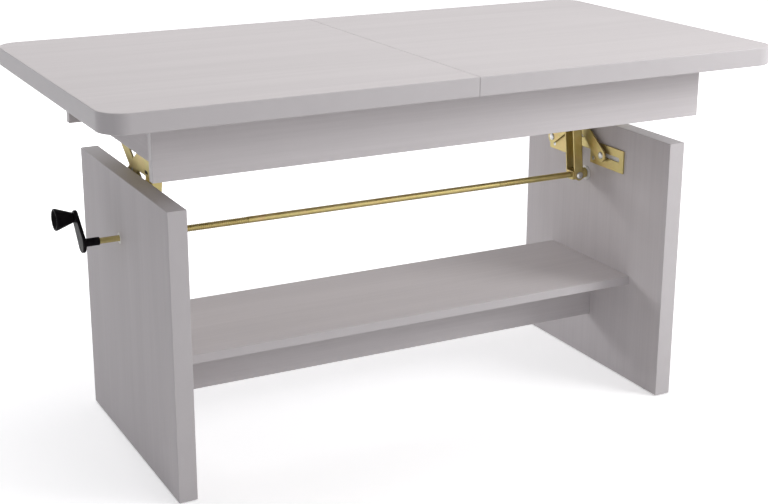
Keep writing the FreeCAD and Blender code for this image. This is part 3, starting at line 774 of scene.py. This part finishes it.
# Trunnion blocks. A block of plated steel rides on each thread of the spindle and carries a lever's foot.
# A shouldered bolt goes into each side of it and through the lever's flange.
block_arris = 0.8 * mm
block_corner = 1.2 * mm
bolt_shank = 5.0 * mm
bolt_chamfer = 0.5 * mm
bolt_head = 7.0 * mm
bolt_depth = 4.5 * mm
bolt_head_height = 3.0 * mm
bolt_head_edge = 0.3 * mm
bolt_dome = ((0.8 * mm, 0), (1.6 * mm, 0.7 * mm), (2.3 * mm, 2.0 * mm), (2.8 * mm, 4.2 * mm))

for side in ("right", "left"):
    low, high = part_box("trunnion_" + side)
    loops = [softened(oblong(low.y, high.y, low.z, high.z), [block_corner] * 4, steps=3),
             circle(spindle_line.y, spindle_line.z, bush_bore)]
    show(side + "_block", cut_flat(loops, 0, low.x, high.x, block_arris), zinc, "trunnion_" + side)
    bolts = []
    bolts_low, bolts_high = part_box("trunnion_bolts_" + side)
    for way, face, end in ((-1, low.y, bolts_low.y), (1, high.y, bolts_high.y)):
        tip = Vector(((low.x + high.x) / 2, face - way * bolt_depth, spindle_line.z))
        length = abs(end - tip.y)
        seat = length - bolt_head_height
        profile = [(0, 0), (0, bolt_shank - bolt_chamfer), (bolt_chamfer, bolt_shank), (seat, bolt_shank),
                   (seat, bolt_head - bolt_head_edge), (seat + bolt_head_edge, bolt_head)]
        profile += [(seat + rise, bolt_head - inset) for rise, inset in bolt_dome]
        bolts.append(turned(profile + [(length, 0)], tip, (0, way, 0)))
    show(side + "_block_bolts", together(bolts), steel, "trunnion_bolts_" + side)


# Levers. Each is a U channel bent from 3 mm steel that stands on a trunnion block, its web to the outside.
# The flanges end in round eyes for the foot bolts and the head pin.
lever_half = 15.0 * mm
lever_eye = 10.5 * mm
sheet = 3.0 * mm
bend_outer = 4.5 * mm
bend_inner = 1.5 * mm
flange_edge = 0.6 * mm
lever_arris = 0.4 * mm
web_from_foot = 27.0 * mm
web_from_head = 16.0 * mm
pin_radius = 4.0 * mm
pin_head = 7.0 * mm
pin_head_height = 2.6 * mm
pin_chamfer = 0.8 * mm
pin_clearance = 0.05 * mm
overrun = 1.0 * mm


def lever_mesh(length, sign):
    """A lever upright on its foot, with its web on the side that sign gives."""
    inside = lever_half - sheet
    web = lever_eye - sheet
    corners = [(-lever_eye, -lever_half), (lever_eye, -lever_half), (lever_eye, lever_half),
               (-lever_eye, lever_half), (-lever_eye, inside), (web, inside), (web, -inside),
               (-lever_eye, -inside)]
    radii = [flange_edge, bend_outer, bend_outer, flange_edge,
             flange_edge, bend_inner, bend_inner, flange_edge]
    channel = cut_flat([softened(corners, radii)], 2, -lever_eye - overrun, length + lever_eye + overrun)
    eyes = [circle(0, 0, bolt_shank + pin_clearance), circle(0, length, pin_radius + pin_clearance)]
    silhouette = cut_flat([round_bar((0, 0), (0, length), lever_eye, lever_eye, steps=16), *eyes],
                          1, -lever_half - overrun, lever_half + overrun)
    channel = worked(channel, silhouette, "INTERSECT")
    opening = oblong(-2 * lever_eye, 2 * lever_eye, -inside, inside)
    for start, stop in ((-2 * lever_eye, web_from_foot), (length - web_from_head, length + 2 * lever_eye)):
        channel = worked(channel, cut_flat([opening], 2, start, stop), "DIFFERENCE")
    if sign < 0:
        channel.transform(Matrix.Scale(-1, 4, (1, 0, 0)))
        channel.flip_normals()
    return channel


for side, sign in both_sides:
    foot = joint_at["lever_" + side + "_swing"]
    pin_low, pin_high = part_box("lever_pin_" + side)
    head = (pin_low + pin_high) / 2
    channel = lever_mesh((head - foot).length, sign)
    lean = math.atan2(head.x - foot.x, head.z - foot.z)
    channel.transform(Matrix.Translation(foot) @ Matrix.Rotation(lean, 4, "Y"))
    piece = show(side + "_lever", channel, zinc, "lever_" + side)
    eased = piece.modifiers.new("eased edges", "BEVEL")
    eased.width = lever_arris
    eased.segments = 2
    eased.limit_method = "ANGLE"
    eased.angle_limit = math.radians(50)
    piece.modifiers.move(1, 0)
    welded = piece.modifiers.new("weld", "WELD")
    welded.merge_threshold = 2 * merge_distance
    piece.modifiers.move(2, 1)
    length = pin_high.y - pin_low.y
    seat = length - pin_head_height
    show(side + "_lever_pin", turned([
        (0, 0), (0, pin_head - pin_chamfer), (pin_chamfer, pin_head), (pin_head_height, pin_head),
        (pin_head_height, pin_radius), (seat, pin_radius), (seat, pin_head), (length - pin_chamfer, pin_head),
        (length, pin_head - pin_chamfer), (length, 0),
    ], (head.x, pin_low.y, head.z), (0, 1, 0)), steel, "lever_pin_" + side)


# Frame. Two long aprons hide the lift from the front and the back, two lower ones close the ends,
# and two cross rails carry the lift's upper ends. All are 16 mm laminated boards joined with beech dowels.
board("front_apron", "apron_front", facing=1, grain=0, arris=shelf_arris, shift=(4.2, 3.3, 8.8))
board("back_apron", "apron_back", facing=1, grain=0, arris=shelf_arris, shift=(9.7, 1.2, 0.5))
board("right_end_apron", "end_apron_right", facing=0, grain=1, arris=shelf_arris, shift=(2.7, 6.9, 3.4))
board("left_end_apron", "end_apron_left", facing=0, grain=1, arris=shelf_arris, shift=(7.1, 0.8, 5.5))
board("right_cross_rail", "cross_rail_right", facing=0, grain=1, arris=shelf_arris, shift=(5.8, 9.4, 1.1))
board("left_cross_rail", "cross_rail_left", facing=0, grain=1, arris=shelf_arris, shift=(0.3, 4.9, 7.2))
coat_node(beech, "frame_dowels")


# Lever brackets. A steel plate is screwed to each cross rail, and two cheeks welded on hold the lever's head.
# A window in each cheek lets the pin ride up while the lever swings.
cheek_inside = 15.5 * mm
bracket_nose = 4.0 * mm
window_front = 4.5 * mm
window_back = 10.0 * mm
window_rise = 22.5 * mm
window_corner = 2.0 * mm
weld_leg = 2.2 * mm
weld_inset = 2.0 * mm
bracket_screw_reach = 29.25 * mm

for side, sign in both_sides:
    low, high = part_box("lever_bracket_" + side)
    middle = (low.y + high.y) / 2
    pin_low, pin_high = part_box("lever_pin_" + side)
    pin = (pin_low + pin_high) / 2
    height = (low.z + high.z) / 2
    rail_face = board_side("lever_bracket_" + side, sign)
    back = rail_face - sign * sheet
    front = sign * min(abs(low.x), abs(high.x))
    loops = [softened(oblong(low.y, high.y, low.z, high.z), [plate_corner] * 4)]
    loops += [circle(middle + way * bracket_screw_reach, height, screw_seat) for way in (-1, 1)]
    parts = [cut_flat(loops, 0, *sorted((rail_face, back)), sheet_arris)]
    outline = softened([(front, low.z), (back, low.z), (back, high.z), (front, high.z)],
                       [bracket_nose, 0, 0, bracket_nose])
    inner, outer = sorted((pin.x - sign * window_front, pin.x + sign * window_back))
    window = softened(oblong(inner, outer, pin.z - window_front, pin.z + window_rise),
                      [window_corner] * 4, steps=3)
    for start in (middle - cheek_inside - sheet, middle + cheek_inside):
        parts.append(cut_flat([outline, window], 1, start, start + sheet, sheet_arris))
        for edge, way in ((start, -1), (start + sheet, 1)):
            bead = [(back, edge), (back - sign * weld_leg, edge), (back, edge + way * weld_leg)]
            parts.append(cut_flat([bead], 2, low.z + weld_inset, high.z - weld_inset))
    show(side + "_lever_bracket", together(parts), zinc, "lever_bracket_" + side)


# Plate screws. Countersunk steel screws with a cross recess hold the plates and brackets to the boards.
# Their heads lie flush in the sheet.
screw_shank = 2.0 * mm
screw_length = 16.0 * mm
screw_point = 4.0 * mm
screw_head_depth = 2.0 * mm
screw_head_edge = 0.15 * mm
recess_reach = 2.2 * mm
recess_root = 0.5 * mm
recess_tip = 0.4 * mm
recess_depth = 1.2 * mm
recess_turn = 0.7


def cross_screw():
    """A screw driven along +Z, with the middle of its head at the origin."""
    blank = turned([(0, 0), (0, screw_head - screw_head_edge), (screw_head_edge, screw_head),
                    (screw_head_depth, screw_shank), (screw_length - screw_point, screw_shank),
                    (screw_length, 0)], (0, 0, 0), (0, 0, 1), sides=24)
    reach, root, tip = recess_reach, recess_root, recess_tip
    cross = [(-tip, -reach), (tip, -reach), (root, -root), (reach, -tip), (reach, tip), (root, root),
             (tip, reach), (-tip, reach), (-root, root), (-reach, tip), (-reach, -tip), (-root, -root)]
    return worked(blank, cut_flat([cross], 2, -overrun, recess_depth), "DIFFERENCE")


def driven(spots, way):
    """Screws driven in at these spots, each with its recess turned a little further than the last."""
    turn = Vector(way).to_track_quat("Z", "Y").to_matrix().to_4x4()
    screws = []
    for number, spot in enumerate(spots):
        copy = one_screw.copy()
        copy.transform(Matrix.Translation(spot) @ turn @ Matrix.Rotation(recess_turn * number, 4, "Z"))
        screws.append(copy)
    return screws


one_screw = cross_screw()
wall_screws = []
rail_screws = []
for side, sign in both_sides:
    for screws, plate, pivot in ((wall_screws, "wall_plate_" + side, lower_pivot),
                                 (rail_screws, "upper_plate_" + side, upper_pivot)):
        face = sign * min(abs(corner.x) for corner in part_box(plate))
        screws += driven([(face, y, z) for y, z in plate_screw_spots(plate, pivot)], (sign, 0, 0))
    low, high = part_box("lever_bracket_" + side)
    face = board_side("lever_bracket_" + side, sign) - sign * sheet
    middle = (low + high) / 2
    spots = [(face, middle.y + way * bracket_screw_reach, middle.z) for way in (-1, 1)]
    rail_screws += driven(spots, (sign, 0, 0))
show("wall_screws", together(wall_screws), steel, "wall_plate_screws")
show("rail_screws", together(rail_screws), steel, "frame_plate_screws")


# Slide guides. A rolled steel channel is fixed inside each long apron, open to the middle of the table.
# It is bright zinc plated, with rounded bends and lips, and the runners of both halves slide in it.
guide_wall = 2.0 * mm
guide_bend = 2.4 * mm
guide_lip = 0.7 * mm
guide_corner = 0.6 * mm

for name, node, sign in (("front_guide", "slide_guide_front", 1), ("back_guide", "slide_guide_back", -1)):
    low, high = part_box(node)
    wall, lip = (low.y, high.y) if sign > 0 else (high.y, low.y)
    inside = wall + sign * guide_wall
    corners = [(wall, low.z), (lip, low.z), (lip, low.z + guide_wall), (inside, low.z + guide_wall),
               (inside, high.z - guide_wall), (lip, high.z - guide_wall), (lip, high.z), (wall, high.z)]
    radii = [guide_bend, guide_lip, guide_lip, guide_corner, guide_corner, guide_lip, guide_lip, guide_bend]
    show(name, cut_flat([softened(corners, radii)], 0, low.x, high.x), steel, node)


# Insert leaf. Two boards as thick as the top lie folded inside the frame on two beech battens,
# and two butt hinges join them along the back, so that they open out flat when the halves are apart.
leaf_arris = 1.0 * mm
batten_width = 40.0 * mm
batten_arris = 1.5 * mm

board("lower_leaf", "leaf_lower", facing=2, grain=0, arris=leaf_arris, shift=(3.9, 8.1, 6.2))
board("upper_leaf", "leaf_upper", facing=2, grain=0, arris=leaf_arris, shift=(6.6, 5.0, 2.9))
low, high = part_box("leaf_battens")
battens = []
for start in (low.x, high.x - batten_width):
    loops = [oblong(start, start + batten_width, low.y, high.y)]
    battens.append(cut_flat(loops, 2, low.z, high.z, batten_arris))
show("battens", together(battens), beech, "leaf_battens")
coat_node(steel, "leaf_hinge_plates", "leaf_hinge_pins")


# Table top. Two 32 mm halves with the print lengthways meet at a fine seam across the middle.
# Their outer corners are rounded to 42 mm and wrapped in edging. Beech dowels keep the two level.
top_corner = 42.0 * mm
rim_round = 1.5 * mm
seam_round = 1.3 * mm
shortest_run = 1.0 * mm


def off_seam(edge, seam):
    """How far the farther end of an edge lies from the seam."""
    return max(abs(vert.co.x - seam) for vert in edge.verts)


for side, sign, shift in (("right", 1, (2.2, 3.6, 5.9)), ("left", -1, (8.8, 6.3, 1.4))):
    low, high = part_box("top_half_" + side)
    seam, end = (low.x, high.x) if sign > 0 else (high.x, low.x)
    corners = [(seam, low.y), (end, low.y), (end, high.y), (seam, high.y)]
    mesh = cut_flat([softened(corners, [0, top_corner, top_corner, 0], steps=16)], 2, low.z, high.z)
    shape = shape_of(mesh)
    bmesh.ops.dissolve_limit(shape, angle_limit=math.radians(1), verts=shape.verts, edges=shape.edges)
    rim = [edge for edge in shape.edges
           if abs(edge.verts[0].co.z - edge.verts[1].co.z) < merge_distance
           and off_seam(edge, seam) > shortest_run]
    bmesh.ops.bevel(shape, geom=rim, offset=rim_round, segments=3, profile=0.5, affect="EDGES")
    joint = [edge for edge in shape.edges
             if off_seam(edge, seam) < seam_round / 4 and edge.calc_length() > shortest_run
             and min(vert.co.z for vert in edge.verts) > low.z + rim_round / 2]
    bmesh.ops.bevel(shape, geom=joint, offset=seam_round, segments=2, profile=0.5, affect="EDGES")
    clean(shape)
    bmesh.ops.triangulate(shape, faces=[face for face in shape.faces if len(face.verts) > 4])
    bmesh.ops.recalc_face_normals(shape, faces=shape.faces)
    meshed(shape, mesh)
    name = side + "_top"
    show(name, mesh, laminated(name, 0, shift), "top_half_" + side)
    for facet in mesh.polygons:
        facet.material_index = 0 if abs(facet.normal.z) > flat_share else 1
coat_node(beech, "seam_dowels")


# Runners. A nylon rail lies under each half, front and back, and its tongue slides in the guide.
# Each is held up into the top with two screws through its flange.
runner_flange = 20.0 * mm
runner_flange_thickness = 4.0 * mm
runner_leg = 5.0 * mm
runner_round = 0.8 * mm
runner_fillet = 2.0 * mm
runner_top_edge = 0.4 * mm
tongue_fillet = 1.0 * mm
tongue_play = 0.5 * mm
runner_shares = (0.15, 0.85)

for side in ("right", "left"):
    screws = []
    for edge, sign in (("front", 1), ("back", -1)):
        node = "slide_runner_" + edge + "_" + side
        low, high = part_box(node)
        tongue, rim = (low.y, high.y) if sign > 0 else (high.y, low.y)
        leg = rim - sign * runner_flange
        face = leg - sign * runner_leg
        under = high.z - runner_flange_thickness
        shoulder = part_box("slide_guide_" + edge)[1].z - guide_wall - tongue_play
        corners = [(tongue, low.z), (leg, low.z), (leg, under), (rim, under), (rim, high.z), (face, high.z),
                   (face, shoulder), (tongue, shoulder)]
        radii = [runner_round, runner_round, runner_fillet, runner_round, runner_top_edge, runner_top_edge,
                 tongue_fillet, runner_round]
        mesh = cut_flat([softened(corners, radii)], 0, low.x, high.x)
        for share in runner_shares:
            x = low.x + (high.x - low.x) * (share if side == "right" else 1 - share)
            spot = Vector((x, (leg + rim) / 2, under))
            hole = turned(peg(2 * runner_flange_thickness, screw_seat),
                          spot - Vector((0, 0, overrun)), (0, 0, 1), sides=24)
            mesh = worked(mesh, hole, "DIFFERENCE")
            screws.append(spot)
        show(side + "_" + edge + "_runner", mesh, nylon, node)
    show(side + "_runner_screws", together(driven(screws, (0, 0, 1))), steel, "runner_screws_" + side)


# Crank. Hub and arm are one moulding in black plastic, pushed on the spindle's hexagon.
# The arm is a flat bar that tapers from the hub to the knob, with rounded edges.
crank_low, crank_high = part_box("crank")
knob_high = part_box("crank_knob")[1]
knob_line = joint_at["knob_spin"]
hub_radius = 7.0 * mm
arm_foot = 16.5 * mm
arm_tip = 12.0 * mm
arm_thickness = 6.0 * mm
arm_round = 1.4 * mm
hub_root = 2.0 * mm
hub_round = 1.2 * mm
hub_round_middle = 0.35 * mm
socket_play = 0.06 * mm
grip_bore = 4.05 * mm

arm_face = crank_low.x + arm_thickness
hub_length = crank_high.x - arm_face
foot_spot = (spindle_line.y, spindle_line.z)
tip_spot = (knob_line.y, knob_line.z)
crank_arm = cut_flat([round_bar(foot_spot, tip_spot, arm_foot, arm_tip, steps=20),
                      circle(*tip_spot, grip_bore)], 0, crank_low.x, arm_face, arm_round)
hub = turned([(-hub_root, 0), (-hub_root, hub_radius), (hub_length - hub_round, hub_radius),
              (hub_length - hub_round_middle, hub_radius - hub_round_middle),
              (hub_length, hub_radius - hub_round), (hub_length, 0)],
             (arm_face, *foot_spot), (1, 0, 0), sides=40)
crank_mesh = worked(crank_arm, hub, "UNION")
socket = turned(peg(hub_length + overrun, hexagon_radius + socket_play),
                (arm_face, *foot_spot), (1, 0, 0), sides=6)
crank_mesh = worked(crank_mesh, socket, "DIFFERENCE")
show("crank_arm", crank_mesh, black_plastic, "crank")


# Crank knob. A black grip, flared like a cone, turns on a blackened steel pin riveted in the arm.
# Its outer face is hollow, with a rounded rim, and the pin's head sits at the bottom of the hollow.
# Its outline is given in millimetres, as the distance from the arm and the radius.
grip_foot = [(0, 8.3), (0.3, 8.8), (1.0, 9.0), (2.5, 9.3)]
grip_flare = [(9.0, 11.5), (16.0, 14.0), (23.0, 16.5), (28.0, 18.3)]
grip_rim = [(29.8, 18.8), (31.0, 19.0), (32.2, 18.7), (33.0, 17.7), (33.0, 16.9), (32.4, 16.1)]
grip_hollow = [(30.0, 14.9), (25.0, 11.9), (21.2, 9.6), (20.0, 8.6)]
grip_pin_shank = 4.0 * mm
grip_pin_chamfer = 0.5 * mm
grip_pin_head = [(2.5 * mm, 6.8 * mm), (2.2 * mm, 7.0 * mm), (1.2 * mm, 6.6 * mm), (0.3 * mm, 4.4 * mm)]
oxide_deep = (0.022, 0.022, 0.024, 1)
oxide_worn = (0.050, 0.049, 0.050, 1)


def blackened_steel():
    """Steel with a thin black oxide, worn a little greyer in patches."""
    finish, tree, at = new_finish("blackened_steel")
    wear = mottle(tree, at, scale=300.0, detail=4.0)
    return dress(finish, tint(tree, spread(tree, wear, low=0.4, high=0.75), oxide_deep, oxide_worn),
                 ranged(tree, wear, to_low=0.36, to_high=0.50), metallic=1.0)


grip_points = grip_foot + grip_flare + grip_rim + grip_hollow
grip_outline = [(along * mm, radius * mm) for along, radius in grip_points]
grip = turned([(0, grip_bore), *grip_outline, (grip_outline[-1][0], grip_bore)],
              (knob_high.x, *tip_spot), (-1, 0, 0), sides=56)
show("crank_grip", grip, black_plastic, "crank_knob")
pin_low, pin_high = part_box("crank_knob_pin")
pin_length = pin_high.x - pin_low.x
pin_outline = [(0, 0), (0, grip_pin_shank - grip_pin_chamfer), (grip_pin_chamfer, grip_pin_shank),
               (pin_length - grip_pin_head[0][0], grip_pin_shank)]
pin_outline += [(pin_length - short, radius) for short, radius in grip_pin_head]
grip_pin = turned(pin_outline + [(pin_length, 0)], (pin_high.x, *tip_spot), (-1, 0, 0))
show("grip_pin", grip_pin, ([blackened_steel()], None), "crank_knob_pin")


# Studio. A white floor that runs out of sight, two soft lamps at the front right, one overhead, a low one
# at the back left and an even white surround. The camera stands where the photograph was taken.
floor_radius = 14.0
floor_thickness = 0.02
floor_reach = 4.0
floor_tone = (0.88, 0.88, 0.88, 1)
glow_near = 0.42
glow_far = 1.0
white = (1, 1, 1, 1)
surround_level = 0.36
fill_colour = (0.955, 0.95, 1.0, 1)
floor_mesh = cut_flat([circle(0, 0, floor_radius, sides=96)], 2, -floor_thickness, 0.0)
floor = placed("studio_floor", floor_mesh)
paper = bpy.data.materials.new("white_paper")
paper.use_nodes = True
tree = paper.node_tree
tree.nodes.remove(tree.nodes["Principled BSDF"])


def seen_directly(tree):
    """1 for rays that the camera sees straight or in a gloss, and 0 for rays that only carry light."""
    path = tree.nodes.new("ShaderNodeLightPath")
    seen = add(tree, "ShaderNodeMath", {0: path.outputs["Is Camera Ray"], 1: path.outputs["Is Glossy Ray"]},
               operation="MAXIMUM")
    return add(tree, "ShaderNodeMath", {0: seen, 1: path.outputs["Is Transmission Ray"]}, operation="MAXIMUM")


at = tree.nodes.new("ShaderNodeTexCoord").outputs["Object"]
nearness = add(tree, "ShaderNodeTexGradient", {
    "Vector": add(tree, "ShaderNodeMapping", {"Vector": at, "Scale": [1 / floor_reach] * 3}),
}, gradient_type="SPHERICAL")
whiteness = spread(tree, nearness, low=0.25, high=0.65, to_low=glow_far, to_high=glow_near)
lit = add(tree, "ShaderNodeBsdfDiffuse", {"Color": floor_tone})
glow = add(tree, "ShaderNodeEmission", {
    "Color": white,
    "Strength": add(tree, "ShaderNodeMath", {0: seen_directly(tree), 1: whiteness}, operation="MULTIPLY"),
})
surface = add(tree, "ShaderNodeAddShader", {0: lit, 1: glow})
tree.links.new(surface, tree.nodes["Material Output"].inputs["Surface"])
floor_mesh.materials.append(paper)

surround = bpy.data.worlds.new("surround")
bpy.context.scene.world = surround
surround.use_nodes = True
tree = surround.node_tree
seen = seen_directly(tree)
level = spread(tree, seen, low=0.0, high=1.0, to_low=surround_level, to_high=1.0)
tree.links.new(tint(tree, seen, fill_colour, white), tree.nodes["Background"].inputs["Color"])
tree.links.new(level, tree.nodes["Background"].inputs["Strength"])


def lamp(name, place, target, size, power, colour=(1, 1, 1)):
    light = bpy.data.lights.new(name, "AREA")
    light.shape = "DISK"
    light.size = size
    light.energy = power
    light.color = colour
    made = placed(name, light)
    made.location = place
    made.rotation_euler = (Vector(target) - Vector(place)).to_track_quat("-Z", "Y").to_euler()
    return made


lamp("key_lamp", (1.2, -2.6, 2.4), (0.2, 0, 0.4), size=1.6, power=8)
lamp("side_lamp", (1.7, -1.6, 1.4), (0.2, 0, 0.4), size=1.0, power=27)
lamp("top_lamp", (0.0, 0.0, 3.2), (0, 0, 0.5), size=2.4, power=31, colour=(1.0, 0.985, 0.95))
back_lamp = lamp("back_lamp", (-0.6, 2.5, 1.1), (0.45, 0, 0.3), size=1.0, power=33,
                 colour=(0.98, 0.985, 1.0))
back_lamp.visible_glossy = False

camera = bpy.data.cameras.new("photo_camera")
camera.lens = 68.73
camera.sensor_width = 36.0
camera.shift_x = 0.0139
camera.shift_y = -0.0342
photo_camera = placed("photo_camera", camera)
photo_camera.location = (-1.1804, -2.2689, 1.1207)
photo_camera.rotation_euler = Vector((0.4347, 0.8519, -0.2922)).to_track_quat("-Z", "Y").to_euler()
bpy.context.scene.camera = photo_camera
bpy.context.scene.view_settings.view_transform = "Standard"
